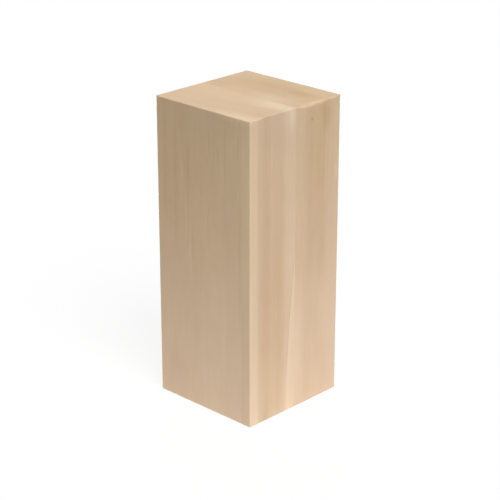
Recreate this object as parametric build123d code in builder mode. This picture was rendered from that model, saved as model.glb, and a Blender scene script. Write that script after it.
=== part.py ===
from build123d import *
import os

os.makedirs("parts", exist_ok=True)

# Wood carving block: two planed basswood boards glued face to face, then sawn square to length.
# Millimetres. The block stands on one end with +Z up the grain. The origin is the middle of the
# lower end. X runs across the width of both boards, and Y through their thicknesses.

# Driving dimensions
BLOCK_LENGTH = 254.0            # along the grain, 10 in
BLOCK_WIDTH = 101.6             # across the boards, 4 in
FRONT_BOARD_THICKNESS = 50.8    # 2 in, towards -Y from the glue line
BACK_BOARD_THICKNESS = 50.8     # 2 in, towards +Y from the glue line
ARRIS_RADIUS = 0.4              # how far the saw and a touch of abrasive ease the outer edges

# The glue line lies where the two thicknesses meet, with the whole block centred on the origin.
SEAM_Y = (FRONT_BOARD_THICKNESS - BACK_BOARD_THICKNESS) / 2
# An arris is never so large that the rounds on opposite edges of a board would meet.
THINNEST = min(FRONT_BOARD_THICKNESS, BACK_BOARD_THICKNESS, BLOCK_WIDTH / 2, BLOCK_LENGTH / 2)
ARRIS = min(ARRIS_RADIUS, THINNEST / 4)


def eased_edges(board, glued_face):
    """The edges of a board that show on the outside of the block: all but those round its glued face."""
    hidden = glued_face.edges()
    return ShapeList(edge for edge in board.edges() if edge not in hidden)


# Front board: stands in front of the glue line, so its glued face is the one furthest along +Y.
with BuildPart() as front_board:
    with BuildSketch(Plane.XY):
        with Locations((0, SEAM_Y)):
            Rectangle(BLOCK_WIDTH, FRONT_BOARD_THICKNESS, align=(Align.CENTER, Align.MAX))
    extrude(amount=BLOCK_LENGTH)
    fillet(eased_edges(front_board, front_board.faces().sort_by(Axis.Y)[-1]), radius=ARRIS)
front_board.part.label = "front_board"
export_step(front_board.part, "parts/front_board.step")

# Back board: stands behind the glue line, so its glued face is the one furthest along -Y.
with BuildPart() as back_board:
    with BuildSketch(Plane.XY):
        with Locations((0, SEAM_Y)):
            Rectangle(BLOCK_WIDTH, BACK_BOARD_THICKNESS, align=(Align.CENTER, Align.MIN))
    extrude(amount=BLOCK_LENGTH)
    fillet(eased_edges(back_board, back_board.faces().sort_by(Axis.Y)[0]), radius=ARRIS)
back_board.part.label = "back_board"
export_step(back_board.part, "parts/back_board.step")
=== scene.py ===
import math

import bmesh
import bpy
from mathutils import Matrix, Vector, noise


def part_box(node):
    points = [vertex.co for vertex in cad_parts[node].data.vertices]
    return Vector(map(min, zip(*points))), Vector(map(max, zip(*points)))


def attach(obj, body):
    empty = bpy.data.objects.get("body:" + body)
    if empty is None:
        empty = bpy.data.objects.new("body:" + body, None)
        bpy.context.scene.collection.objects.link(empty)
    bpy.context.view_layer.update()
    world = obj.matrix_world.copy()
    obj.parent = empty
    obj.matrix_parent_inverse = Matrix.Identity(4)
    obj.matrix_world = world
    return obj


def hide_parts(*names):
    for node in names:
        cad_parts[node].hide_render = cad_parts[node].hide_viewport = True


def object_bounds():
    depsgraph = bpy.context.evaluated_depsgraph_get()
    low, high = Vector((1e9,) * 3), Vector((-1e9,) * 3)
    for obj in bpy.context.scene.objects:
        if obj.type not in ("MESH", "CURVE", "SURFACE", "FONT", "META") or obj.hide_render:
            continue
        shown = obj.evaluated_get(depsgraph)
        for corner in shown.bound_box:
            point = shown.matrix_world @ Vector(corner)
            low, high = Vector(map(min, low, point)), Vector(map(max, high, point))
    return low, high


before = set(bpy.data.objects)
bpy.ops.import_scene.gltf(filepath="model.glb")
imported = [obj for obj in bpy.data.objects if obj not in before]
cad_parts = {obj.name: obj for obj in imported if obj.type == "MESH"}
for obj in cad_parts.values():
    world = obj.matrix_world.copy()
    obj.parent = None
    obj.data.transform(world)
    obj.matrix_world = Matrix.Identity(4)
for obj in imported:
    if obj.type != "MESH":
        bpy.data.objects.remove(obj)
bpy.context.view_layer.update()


# ---------------------------------------------------------------------------------------------
# Front board: a planed basswood board, flat-sawn, standing on its sawn end. Its back face is glued
# to the other board, and its other edges are left as the plane and the saw cut them, hardly eased.
# ---------------------------------------------------------------------------------------------

MM = 0.001
EASED = 0.3 * MM
RULED = (0.6 * MM, 1.1 * MM, 1.8 * MM, 2.8 * MM)
PITCH = 1.5 * MM
SHARP_TURN = math.radians(60)


def cut_board(name, node, glued_side, torn=()):
    """A board cut to its CAD box. glued_side is +1 or -1, the side along Y that is glued, whose edges
    stay square. torn holds ragged stretches of the top right arris: (middle, half length, depth) in mm."""
    low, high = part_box(node)
    board = bmesh.new()
    bmesh.ops.create_cube(board, size=1)
    bmesh.ops.scale(board, vec=high - low, verts=board.verts)
    bmesh.ops.translate(board, vec=(high + low) / 2, verts=board.verts)
    ease_arrises(board, high.y if glued_side > 0 else low.y)
    rule_lines(board, low, high, glued_side)
    chip_arrises(board, low, high, glued_side, torn)
    for edge in board.edges:
        edge.smooth = edge.calc_face_angle(0.0) < SHARP_TURN
    for face in board.faces:
        face.smooth = True
        face.material_index = 1 if abs(face.normal.z) > 0.5 else 0
    mesh = bpy.data.meshes.new(name)
    board.to_mesh(mesh)
    board.free()
    piece = bpy.data.objects.new(name, mesh)
    bpy.context.scene.collection.objects.link(piece)
    flat_shading = piece.modifiers.new("flat faces", "WEIGHTED_NORMAL")
    flat_shading.weight = 100
    flat_shading.keep_sharp = True
    return piece


def ease_arrises(board, glue_y):
    """Rounds every edge that shows, by the touch that takes the sharpness off."""
    shown = [e for e in board.edges if any(abs(v.co.y - glue_y) > EASED for v in e.verts)]
    bmesh.ops.bevel(board, geom=shown, offset=EASED, affect="EDGES", segments=3, profile=0.5, material=-1)


def rule_lines(board, low, high, glued_side):
    """Divides the faces finely near each arris, where the chips are, and evenly between."""
    for axis in range(3):
        along = Vector([float(axis == i) for i in range(3)])
        for depth in RULED:
            for corner, inward in ((low, 1), (high, -1)):
                if axis == 1 and inward == -glued_side:
                    continue
                geom = board.verts[:] + board.edges[:] + board.faces[:]
                line = corner + along * depth * inward
                bmesh.ops.bisect_plane(board, geom=geom, plane_co=line, plane_no=along)
        widest = max(abs((e.verts[0].co - e.verts[1].co)[axis]) for e in board.edges)
        spans = [e for e in board.edges if abs((e.verts[0].co - e.verts[1].co)[axis]) > widest / 2]
        bmesh.ops.subdivide_edges(board, edges=spans, cuts=round(widest / PITCH) - 1)


def chip_arrises(board, low, high, glued_side, torn):
    """Wears each arris unevenly: it wanders a little, and small chips have left it, more at the sawn ends."""
    outer = [(0, low.x, 1), (0, high.x, -1), (2, low.z, 1), (2, high.z, -1)]
    outer.append((1, low.y, 1) if glued_side > 0 else (1, high.y, -1))
    arrises = [(a, b) for i, a in enumerate(outer) for b in outer[i + 1:] if a[0] != b[0]]
    deepest_chip = 4 * MM
    for vert in board.verts:
        for number, (a, b) in enumerate(arrises):
            depth_a = (vert.co[a[0]] - a[1]) * a[2]
            depth_b = (vert.co[b[0]] - b[1]) * b[2]
            if depth_a + depth_b > deepest_chip:
                continue
            along = vert.co[3 - a[0] - b[0]] / MM
            cut = arris_wear(along, number, sawn=2 in (a[0], b[0]))
            if a == (0, high.x, -1) and b == (2, high.z, -1):
                cut += torn_depth(along, torn)
            spare = cut * MM - depth_a - depth_b
            if spare > 0:
                vert.co[a[0]] += a[2] * spare / 2
                vert.co[b[0]] += b[2] * spare / 2


def arris_wear(along, number, sawn):
    """How much of an arris is gone at a place along it, in mm."""
    wander, wander_length, chip_length = 0.12, 9, 1.9
    rarity, chip_depth = (0.22, 1.5) if sawn else (0.42, 0.9)
    worn = EASED / MM + wander * noise.noise((along / wander_length, number * 5.3, 0.5))
    chips = max(0, noise.noise((along / chip_length, number * 3.7, 8.2)) - rarity)
    return worn + chips * chip_depth


def torn_depth(along, torn):
    """How deep the saw has torn the fibres out at a place along the arris, in mm."""
    raggedness, splinter_length = 0.35, 1.7
    total = 0.0
    for middle, half, depth in torn:
        bowl = max(0, 1 - ((along - middle) / half) ** 2)
        ragged = 1 + raggedness * noise.noise((along / splinter_length, 3.1, 0))
        total += depth * math.sqrt(bowl) * ragged
    return total


class Figure:
    """The figure of the wood, drawn as a node tree on the piece's own coordinates in millimetres."""

    def __init__(self, name, pith, seed):
        self.finish = bpy.data.materials.new(name)
        self.finish.use_nodes = True
        self.tree = self.finish.node_tree
        self.shader = self.tree.nodes["Principled BSDF"]
        self.seed = seed
        own = self.tree.nodes.new("ShaderNodeTexCoord").outputs["Object"]
        self.place = self.vector("SCALE", own, 1 / MM)
        self.x, self.y, self.z = self.parts(self.place)
        self.radius = self.rings_about(pith)

    def give(self, socket, value):
        if isinstance(value, bpy.types.NodeSocket):
            self.tree.links.new(value, socket)
        else:
            socket.default_value = value

    def calc(self, operation, a, b=0.0, c=0.0):
        node = self.tree.nodes.new("ShaderNodeMath")
        node.operation = operation
        for socket, value in zip(node.inputs, (a, b, c)):
            self.give(socket, value)
        return node.outputs[0]

    def vector(self, operation, a, b):
        node = self.tree.nodes.new("ShaderNodeVectorMath")
        node.operation = operation
        self.give(node.inputs[0], a)
        self.give(node.inputs["Scale" if operation == "SCALE" else 1], b)
        return node.outputs["Vector"]

    def length(self, a):
        node = self.tree.nodes.new("ShaderNodeVectorMath")
        node.operation = "LENGTH"
        self.give(node.inputs[0], a)
        return node.outputs["Value"]

    def parts(self, vector):
        node = self.tree.nodes.new("ShaderNodeSeparateXYZ")
        self.give(node.inputs[0], vector)
        return node.outputs[:3]

    def both(self, a, b):
        return self.calc("MULTIPLY", a, b)

    def add_up(self, *terms):
        """The sum of (value, weight) pairs."""
        total = 0.0
        for value, weight in terms:
            total = self.calc("MULTIPLY_ADD", value, weight, total)
        return total

    def fade(self, value, start, end):
        """0 at start and 1 at end, with a soft turn at both. start may be the larger."""
        node = self.tree.nodes.new("ShaderNodeMapRange")
        node.interpolation_type = "SMOOTHSTEP"
        self.give(node.inputs["Value"], value)
        self.give(node.inputs["From Min"], start)
        self.give(node.inputs["From Max"], end)
        return node.outputs[0]

    def between(self, value, low, high, soft):
        """1 between low and high, with edges that wide."""
        return self.both(self.fade(value, low, low + soft), self.fade(value, high, high - soft))

    def mottle(self, across, along, detail=2.0, offset=0.0):
        """Soft random variation from -1 to 1, in patches of that size across and along the grain."""
        node = self.tree.nodes.new("ShaderNodeTexNoise")
        node.noise_dimensions = "4D"
        node.inputs["Scale"].default_value = 1.0
        node.inputs["Detail"].default_value = detail
        node.inputs["W"].default_value = self.seed + offset
        shrink = (1 / across, 1 / across, 1 / along)
        self.give(node.inputs["Vector"], self.vector("MULTIPLY", self.place, shrink))
        return self.calc("MULTIPLY_ADD", node.outputs[0], 2.0, -1.0)

    def rings_about(self, pith):
        """Distance from the middle of the tree, which wavers on its way up."""
        waver = self.calc("MULTIPLY", self.mottle(38.0, 85.0, 2.0, 11.0), 1.3)
        east = self.calc("SUBTRACT", self.x, pith[0])
        north = self.calc("SUBTRACT", self.y, pith[1])
        square = self.calc("MULTIPLY_ADD", east, east, self.calc("MULTIPLY", north, north))
        return self.calc("ADD", self.calc("SQRT", square), waver)

    def ring_lines(self, width, detail):
        """Random variation from -1 to 1 that is the same all along a growth ring."""
        node = self.tree.nodes.new("ShaderNodeTexNoise")
        node.noise_dimensions = "1D"
        node.inputs["Scale"].default_value = 1 / width
        node.inputs["Detail"].default_value = detail
        self.give(node.inputs["W"], self.calc("ADD", self.radius, 100 * self.seed))
        return self.calc("MULTIPLY_ADD", node.outputs[0], 2.0, -1.0)

    def bands(self, stops, low_share):
        """The tone of each growth band, from (mm from the pith, tone) pairs. Low on the board the bands
        have only that share of their strength."""
        first, last = stops[0][0], stops[-1][0]
        node = self.tree.nodes.new("ShaderNodeValToRGB")
        ramp = node.color_ramp
        ramp.interpolation = "EASE"
        while len(ramp.elements) < len(stops):
            ramp.elements.new(1.0)
        for element, (radius, tone) in zip(ramp.elements, stops):
            element.position = (radius - first) / (last - first)
            grey = (1 + tone) / 2
            element.color = (grey, grey, grey, 1)
        share = self.calc("DIVIDE", self.calc("SUBTRACT", self.radius, first), last - first)
        self.give(node.inputs[0], share)
        strength = self.calc("MULTIPLY_ADD", self.fade(self.z, 85.0, 135.0), 1 - low_share, low_share)
        return self.both(self.calc("MULTIPLY_ADD", node.outputs[0], 2.0, -1.0), strength)

    def patch(self, middle, reach):
        """1 in the middle of a soft-edged spot that reaches so far along X, Y and Z, and 0 outside it."""
        off = self.vector("SUBTRACT", self.place, middle)
        return self.fade(self.length(self.vector("DIVIDE", off, reach)), 1.0, 0.0)

    def streaks(self, across, rows, waver=0.0):
        """1 along the middle of streaks that run up the grain. A row holds a streak's place across,
        half its width, its lower and upper ends, and its strength. Wavering ones are broken too."""
        wander = self.calc("MULTIPLY", self.mottle(12.0, 19.0, 1.0, 21.0), waver) if waver else 0.0
        whole = self.fade(self.mottle(3.0, 13.0, 1.0, 22.0), -0.45, 0.2) if waver else 1.0
        total = 0.0
        for place, half, low, high, strength in rows:
            off = self.calc("ABSOLUTE", self.calc("SUBTRACT", across, self.calc("ADD", place, wander)))
            shown = self.both(self.fade(off, half, 0.0), self.between(self.z, low, high, (high - low) / 3))
            total = self.calc("MULTIPLY_ADD", shown, strength, total)
        return self.both(total, whole)


PLAIN_WOOD = (0.684, 0.507, 0.318, 1)
PINKER_WOOD = (0.678, 0.500, 0.352, 1)
DARKER_IS_BROWNER = (0.75, 1.0, 1.35)


def basswood(figure, marks, blush, end_grain):
    """Bare basswood, off the plane on its long faces and off the saw on its ends. marks is how much
    lighter or darker than plain wood each place is, and blush how much pinker."""
    fibres = figure.mottle(0.55, 26.0, 2.0, 1.0)
    pores = figure.mottle(0.32, 6.0, 1.0, 4.0)
    streaks = figure.mottle(2.6, 75.0, 2.0, 2.0)
    flecks = figure.fade(figure.mottle(0.8, 11.0, 0.0, 6.0), 0.42, 0.62)
    blotches = figure.mottle(7.0, 19.0, 2.0, 7.0)
    clouds = figure.mottle(26.0, 80.0, 3.0, 3.0)
    rings = figure.ring_lines(1.5, 2.0)
    if end_grain:
        own_look = ((pores, 0.05), (streaks, 0.02), (rings, 0.02))
    else:
        own_look = ((fibres, 0.028), (streaks, 0.042), (rings, 0.024), (flecks, -0.05))
    tone = figure.add_up(*own_look, (blotches, 0.04), (clouds, 0.06), (marks, 1.0))
    hue = figure.tree.nodes.new("ShaderNodeMix")
    hue.data_type = "RGBA"
    uneven = figure.mottle(18.0, 42.0, 2.0, 5.0)
    figure.give(hue.inputs["Factor"], figure.add_up((uneven, 0.5), (blush, 1.0), (1.0, 0.5)))
    figure.give(hue.inputs[6], PLAIN_WOOD)
    figure.give(hue.inputs[7], PINKER_WOOD)
    tint = figure.vector("ADD", figure.vector("SCALE", DARKER_IS_BROWNER, tone), (1, 1, 1))
    figure.give(figure.shader.inputs["Base Color"], figure.vector("MULTIPLY", hue.outputs[2], tint))
    rough = figure.add_up((fibres, 0.05), (clouds, 0.04), (1.0, 0.66 if end_grain else 0.58))
    figure.give(figure.shader.inputs["Roughness"], rough)
    figure.shader.inputs["Specular IOR Level"].default_value = 0.35
    relief = figure.tree.nodes.new("ShaderNodeBump")
    relief.inputs["Strength"].default_value = 0.35 if end_grain else 0.25
    relief.inputs["Distance"].default_value = 0.02 * MM
    figure.give(relief.inputs["Height"], pores if end_grain else fibres)
    figure.give(figure.shader.inputs["Normal"], relief.outputs[0])
    return figure.finish


# Growth bands of the front board, from its glued face out to its front face
FRONT_PITH = (-25.0, 300.0)
FRONT_BANDS = (
    (300, 0.00), (309.5, 0.02), (315.5, 0.03), (319.5, 0.03), (322, -0.02), (327, -0.055), (333, -0.04),
    (335.8, -0.015), (337.4, -0.055), (341, -0.075), (345, -0.065), (348, -0.035), (350.6, -0.02),
    (352.5, 0.00), (355, 0.005), (359, 0.02),
)
# Streaks up the front face: place across, half width, lower end, upper end, strength
PALE_STREAKS = (
    (-23.6, 3.2, 164, 236, 0.9), (-18.6, 1.9, 138, 190, 1.0), (-15.4, 1.7, 110, 162, 1.0),
    (2.0, 2.4, 120, 190, 0.4),
)
DARK_STREAKS = (
    (-42.0, 4.0, 140, 270, 0.7), (-31.0, 3.4, 112, 240, 0.9), (-16.0, 2.2, 170, 230, 1.0),
    (-11.4, 1.8, 106, 160, 1.0), (12.0, 3.0, 150, 250, 0.5), (27.0, 2.6, 20, 90, 0.5),
)
NICKS = (
    (7.1, 0.8, 218, 238, 1.0), (16.3, 0.8, 210, 228, 1.0), (24.0, 0.7, 188, 250, 0.6),
    (38.4, 0.8, 216, 246, 1.0),
)
RIGHT_LINE = ((35.6, 1.0, 80, 200, 1.0),)
CORNER_LINES = ((39.9, 1.1, 60, 220, 1.0), (42.9, 1.1, -45, 48, 1.0))
SIDE_CORNER_LINE = ((-41.3, 0.8, 172, 234, 1.0),)


def front_board_marks(figure, end_grain):
    """Straight bands up the right edge, with a pale corner, and a pale wedge that ends at the glue."""
    x, y, z = figure.x, figure.y, figure.z
    low, high = (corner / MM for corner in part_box("front_board"))
    bands = figure.bands(FRONT_BANDS, low_share=0.75)
    near_top = figure.fade(z, high.z - 20, high.z - 2)
    # Partly wood tone and partly painted shade: a darker waist on the right face and a darker middle on the
    # front face
    waist_tone_and_painted_shade = figure.patch((high.x, -26.0, 88.0), (30.0, 40.0, 150.0))
    right_middle_tone_and_painted_shade = figure.patch((32.0, low.y, 150.0), (30.0, 8.0, 75.0))
    foot = figure.patch((high.x, -33.0, 4.0), (22.0, 10.0, 30.0))
    # Partly wood tone and partly painted light: lighter towards the foot and the right, where the floor and
    # the lamp light the block more
    rising_tone_and_painted_light = figure.fade(figure.calc("MULTIPLY_ADD", z, -0.4, x), -140.0, 50.0)

    # The pale corner, a strip of each face that is weaker on the front face and gone at its foot
    corner_width = 9.1
    inner_line = high.x - low.y - corner_width
    corner = figure.fade(figure.calc("SUBTRACT", x, y), inner_line - 0.3, inner_line + 0.3)
    on_front = figure.fade(x, high.x - 0.3, high.x - 1.8)
    less = figure.both(on_front, figure.calc("MULTIPLY_ADD", figure.fade(z, 150.0, 90.0), 0.95, 0.5))
    corner = figure.both(corner, figure.calc("SUBTRACT", 1.0, less))
    corner_lines = figure.add_up(
        (figure.streaks(x, CORNER_LINES), 1.0), (figure.streaks(y, SIDE_CORNER_LINE), 1.0),
    )

    # The pale wedge, whose curved edge leaves the glue halfway up and is furthest from it at the foot
    tip, foot_width = 130.0, 9.1
    rise = figure.calc("POWER", figure.calc("MAXIMUM", figure.calc("DIVIDE", z, tip), 0.0), 1.7)
    into = figure.calc("SUBTRACT", y, figure.calc("MULTIPLY_ADD", rise, foot_width, -foot_width))
    right_half = figure.fade(x, -40.0, 10.0)
    palest_at_edge = figure.calc("MULTIPLY_ADD", figure.fade(into, 0.0, 8.0), -0.5, 1.0)
    wedge = figure.both(figure.fade(into, -0.1, 0.2), figure.fade(z, tip + 2, tip - 8))
    wedge = figure.both(figure.both(wedge, palest_at_edge), right_half)
    wedge_line = figure.both(figure.between(into, -0.85, 0.1, 0.35), figure.between(z, 40, tip + 10, 20))
    wedge_line = figure.both(wedge_line, right_half)

    # On the sawn top: a cream patch by the glue, and a pale front edge with a darker patch behind it, and a
    # painted highlight along the top front arris
    cream = figure.patch((38.0, -6.0, high.z + 3), (40.0, 16.0, 24.0))
    glint = figure.patch((high.x, -4.5, high.z - 6), (8.0, 5.5, 18.0))
    top_edge = figure.patch((46.0, low.y, high.z + 3), (64.0, 21.0, 9.0))
    darker_behind_edge = figure.patch((44.0, -32.0, high.z + 3), (24.0, 11.0, 9.0))
    # Painted highlight along the top front arris, where the eased edge would catch the lamp
    painted_arris_highlight = figure.both(figure.fade(z, high.z - 0.9, high.z - 0.2), figure.fade(y, low.y + 0.9, low.y + 0.3))

    every_face = (
        (corner, 0.075), (corner_lines, -0.075), (wedge, 0.13), (wedge_line, -0.14),
        (cream, 0.18), (glint, 0.12), (top_edge, 0.21), (darker_behind_edge, -0.05), (painted_arris_highlight, 0.1),
        (foot, -0.09), (waist_tone_and_painted_shade, -0.15), (right_middle_tone_and_painted_shade, -0.05),
    )
    if end_grain:
        return figure.add_up((bands, 0.5), *every_face)
    return figure.add_up(
        (bands, 1.35), (figure.both(bands, near_top), -0.6), (rising_tone_and_painted_light, 0.11), (-0.06, 1.0),
        (figure.streaks(x, PALE_STREAKS, waver=1.5), 0.085),
        (figure.streaks(x, DARK_STREAKS, waver=1.5), -0.075),
        (figure.streaks(x, RIGHT_LINE, waver=0.4), 0.05),
        (figure.streaks(x, NICKS), -0.14), *every_face,
    )


def front_board_blush(figure, end_grain):
    """Pinker up the right edge and at the top of it, and yellower high on the front face, partly wood hue and
    partly painted light.
    """
    if end_grain:
        return figure.add_up((figure.fade(figure.z, 225.0, 250.0), 0.08), (-0.22, 1.0))
    pink_strip = figure.streaks(figure.y, ((-36.0, 9.0, 60, 260, 1.0),), waver=1.0)
    # Yellower high on the front face: partly the wood's own hue, partly painted light
    sallow_and_painted_light = figure.both(figure.fade(figure.z, 20.0, 230.0), figure.fade(figure.y, -38.0, -50.0))
    near_top = figure.fade(figure.z, 225.0, 250.0)
    return figure.add_up((pink_strip, 0.3), (sallow_and_painted_light, -0.75), (near_top, 0.2), (0.2, 1.0))


front_board = cut_board("front_board_timber", "front_board", glued_side=1)
for cut, end_grain in (("planed", False), ("sawn", True)):
    figure = Figure("front basswood " + cut, FRONT_PITH, seed=3.0)
    marks = front_board_marks(figure, end_grain)
    blush = front_board_blush(figure, end_grain)
    front_board.data.materials.append(basswood(figure, marks, blush, end_grain))
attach(front_board, "root")
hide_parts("front_board")


# ---------------------------------------------------------------------------------------------
# Back board: the second basswood board, a little browner, glued face to face behind the first.
# The saw has torn the fibres out along its top right arris.
# ---------------------------------------------------------------------------------------------

# Ragged stretches of the top right arris: middle, half length, depth
TORN = ((3.0, 2.0, 0.5), (9.0, 4.5, 1.4), (17.0, 4.5, 2.4), (28.5, 6.5, 1.9), (41.0, 4.5, 1.0))
# Growth bands of the back board, from its glued face out to its back face
BACK_PITH = (20.0, -250.0)
BACK_BANDS = (
    (240, -0.06), (247, -0.05), (252, -0.03), (258, -0.04), (263, -0.06), (265, -0.10), (269, -0.13),
    (273, -0.115), (276, -0.12), (280, -0.14), (284.5, -0.14), (287, -0.09), (292, -0.05), (300, -0.02),
    (306, -0.02),
)
# Streaks up the back face
PALE_BACK_STREAKS = ((-6.0, 4.5, 20, 190, 1.0), (28.5, 2.2, 96, 232, 0.8))
DARK_BACK_STREAKS = ((-35.5, 5.0, 90, 270, 0.8), (1.5, 2.6, 44, 228, 1.0), (36.0, 3.0, -20, 120, 0.8))
BACK_NICKS = ((-21.3, 0.8, 58, 80, 1.0), (14.5, 0.8, 150, 178, 1.0))


def back_board_look(figure, end_grain):
    """Brown in the middle of the edge and paler to the back and the foot, with a dark knot shadow and
    a pink patch on the sawn top. Gives the marks and the blush."""
    x, y, z = figure.x, figure.y, figure.z
    low, high = (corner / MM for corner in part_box("back_board"))
    bands = figure.bands(BACK_BANDS, low_share=0.35)
    by_the_glue = figure.patch((high.x, low.y, 48.0), (40.0, 16.0, 88.0))
    low_and_back = figure.both(figure.fade(z, 138.0, 96.0), figure.fade(y, 16.0, 30.0))
    speck = figure.patch((high.x, 18.3, 241.0), (3.0, 1.9, 2.6))
    rust = figure.patch((high.x, 35.6, 241.0), (12.0, 9.5, 19.0))
    glow = figure.patch((high.x, 47.5, 193.0), (8.0, 4.5, 11.0))
    # Paler torn fibres along the top right arris, and partly a painted highlight along that arris
    torn_fibres_and_highlight = figure.patch((high.x, 20.0, high.z - 0.5), (5.0, 22.0, 4.5))
    knot_shadow = figure.patch((29.0, 29.5, high.z + 2), (20.0, 11.0, 10.0))
    dusk = figure.patch((-6.0, 30.0, high.z + 2), (50.0, 26.0, 12.0))
    pink = figure.patch((20.0, 5.0, high.z + 2), (28.0, 14.0, 12.0))
    marks = figure.add_up(
        (bands, 0.5 if end_grain else 1.0), (by_the_glue, 0.1), (low_and_back, 0.02),
        (speck, -0.24), (rust, -0.13), (glow, 0.07), (torn_fibres_and_highlight, 0.12),
        (knot_shadow, -0.12), (dusk, -0.07), (pink, 0.11),
    )
    if end_grain:
        marks = figure.add_up((marks, 1.0), (-0.045, 1.0))
    else:
        streaks = figure.add_up(
            (figure.streaks(x, PALE_BACK_STREAKS, waver=2.5), 0.08),
            (figure.streaks(x, DARK_BACK_STREAKS, waver=2.5), -0.08), (figure.streaks(x, BACK_NICKS), -0.12),
        )
        marks = figure.add_up((marks, 1.0), (figure.both(streaks, figure.fade(y, 30.0, 42.0)), 1.0))
    pinker_low = figure.fade(z, 215.0, 130.0)
    return marks, figure.add_up((pink, 0.5), (rust, -0.4), (pinker_low, 0.6), (-0.2, 1.0))


back_board = cut_board("back_board_timber", "back_board", glued_side=-1, torn=TORN)
for cut, end_grain in (("planed", False), ("sawn", True)):
    figure = Figure("back basswood " + cut, BACK_PITH, seed=8.0)
    marks, blush = back_board_look(figure, end_grain)
    back_board.data.materials.append(basswood(figure, marks, blush, end_grain))
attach(back_board, "root")
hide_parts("back_board")


# ---------------------------------------------------------------------------------------------
# Floor: a white table top that goes on past the view. It throws light back up at the block from
# close by only, as a table does, and it looks white with a faint shadow.
# ---------------------------------------------------------------------------------------------

low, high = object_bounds()
floor_mesh = bpy.data.meshes.new("floor")
table_top = bmesh.new()
half_table = 6
bmesh.ops.create_grid(table_top, x_segments=1, y_segments=1, size=half_table)
bmesh.ops.translate(table_top, vec=(0, 0, low.z), verts=table_top.verts)
table_top.to_mesh(floor_mesh)
table_top.free()
floor = bpy.data.objects.new("floor", floor_mesh)
bpy.context.scene.collection.objects.link(floor)


def seen_directly(tree):
    """1 for what the camera sees, also in a mirror or through glass, and 0 for light on its way."""
    path = tree.nodes.new("ShaderNodeLightPath")
    total = path.outputs["Is Camera Ray"]
    for name in ("Is Glossy Ray", "Is Transmission Ray"):
        either = tree.nodes.new("ShaderNodeMath")
        either.operation = "MAXIMUM"
        tree.links.new(total, either.inputs[0])
        tree.links.new(path.outputs[name], either.inputs[1])
        total = either.outputs[0]
    return total


def white_floor():
    pool_middle, pool_start, pool_end = (0.11, -0.11, 0), 0.2, 0.6
    bounce_near, bounce_far, white_share = 0.95, 0.12, 0.88
    finish = bpy.data.materials.new("white floor")
    finish.use_nodes = True
    tree = finish.node_tree
    tree.nodes.clear()
    nodes, links = tree.nodes, tree.links
    place = nodes.new("ShaderNodeTexCoord").outputs["Object"]
    distance = nodes.new("ShaderNodeVectorMath")
    distance.operation = "DISTANCE"
    distance.inputs[1].default_value = pool_middle
    links.new(place, distance.inputs[0])
    pool = nodes.new("ShaderNodeMapRange")
    pool.interpolation_type = "SMOOTHSTEP"
    pool.inputs["From Min"].default_value = pool_start
    pool.inputs["From Max"].default_value = pool_end
    pool.inputs["To Min"].default_value = bounce_near
    pool.inputs["To Max"].default_value = bounce_far
    links.new(distance.outputs["Value"], pool.inputs["Value"])
    bounce = nodes.new("ShaderNodeBsdfDiffuse")
    links.new(pool.outputs[0], bounce.inputs["Color"])
    shaded = nodes.new("ShaderNodeBsdfDiffuse")
    shaded.inputs["Color"].default_value = (1, 1, 1, 1)
    white = nodes.new("ShaderNodeEmission")
    white.inputs["Strength"].default_value = 1.0
    seen = nodes.new("ShaderNodeMixShader")
    seen.inputs[0].default_value = white_share
    links.new(shaded.outputs[0], seen.inputs[1])
    links.new(white.outputs[0], seen.inputs[2])
    either = nodes.new("ShaderNodeMixShader")
    links.new(seen_directly(tree), either.inputs[0])
    links.new(bounce.outputs[0], either.inputs[1])
    links.new(seen.outputs[0], either.inputs[2])
    out = nodes.new("ShaderNodeOutputMaterial")
    links.new(either.outputs[0], out.inputs["Surface"])
    return finish


floor.data.materials.append(white_floor())


# ---------------------------------------------------------------------------------------------
# Light: one wide soft lamp high on the right, a weak one low behind on the left that keeps the far
# faces readable, and a plain bright room all round.
# ---------------------------------------------------------------------------------------------

def hang_lamp(name, reach, spread, shines):
    """A far lamp. Each part of reach is how bright it lights a face square to that axis, where 1
    renders a colour as it is written. shines says whether it shows as a shine on the wood."""
    lamp = bpy.data.lights.new(name, "SUN")
    lamp.energy = reach.length * math.pi
    lamp.angle = math.radians(spread)
    stand = bpy.data.objects.new(name, lamp)
    stand.rotation_euler = reach.to_track_quat("Z", "Y").to_euler()
    stand.visible_glossy = shines
    bpy.context.scene.collection.objects.link(stand)


hang_lamp("soft lamp", Vector((0.49, -0.20, 0.67)), 30, True)
hang_lamp("far lamp", Vector((-0.34, 0.30, 0.03)), 20, False)

room = bpy.data.worlds.new("white room")
room.use_nodes = True
room_light = room.node_tree.nodes["Background"]
room_light.inputs["Color"].default_value = (1, 1, 1, 1)
strength = room.node_tree.nodes.new("ShaderNodeMapRange")
strength.inputs["To Min"].default_value = 0.3
strength.inputs["To Max"].default_value = 1.0
room.node_tree.links.new(seen_directly(room.node_tree), strength.inputs["Value"])
room.node_tree.links.new(strength.outputs[0], room_light.inputs["Strength"])
bpy.context.scene.world = room
bpy.context.scene.view_settings.view_transform = "Standard"


# ---------------------------------------------------------------------------------------------
# Camera: a long lens a little above the block, looking at its front right corner.
# ---------------------------------------------------------------------------------------------

azimuth, elevation = math.radians(44.02), math.radians(21.67)
focal_length = 118.04
# In lengths of the block
distance, aim_right, aim_down = 5.217, 0.0051, 0.0118
block_length = high.z - low.z
level = math.cos(elevation)
back = Vector((math.sin(azimuth) * level, -math.cos(azimuth) * level, math.sin(elevation)))
right = Vector((math.cos(azimuth), math.sin(azimuth), 0))
up = back.cross(right)
lens = bpy.data.cameras.new("camera")
lens.lens = focal_length
lens.clip_end = 50
camera = bpy.data.objects.new("camera", lens)
aim = right * aim_right - up * aim_down
camera.location = (low + high) / 2 + (back * distance + aim) * block_length
camera.rotation_euler = back.to_track_quat("Z", "Y").to_euler()
bpy.context.scene.collection.objects.link(camera)
bpy.context.scene.camera = camera
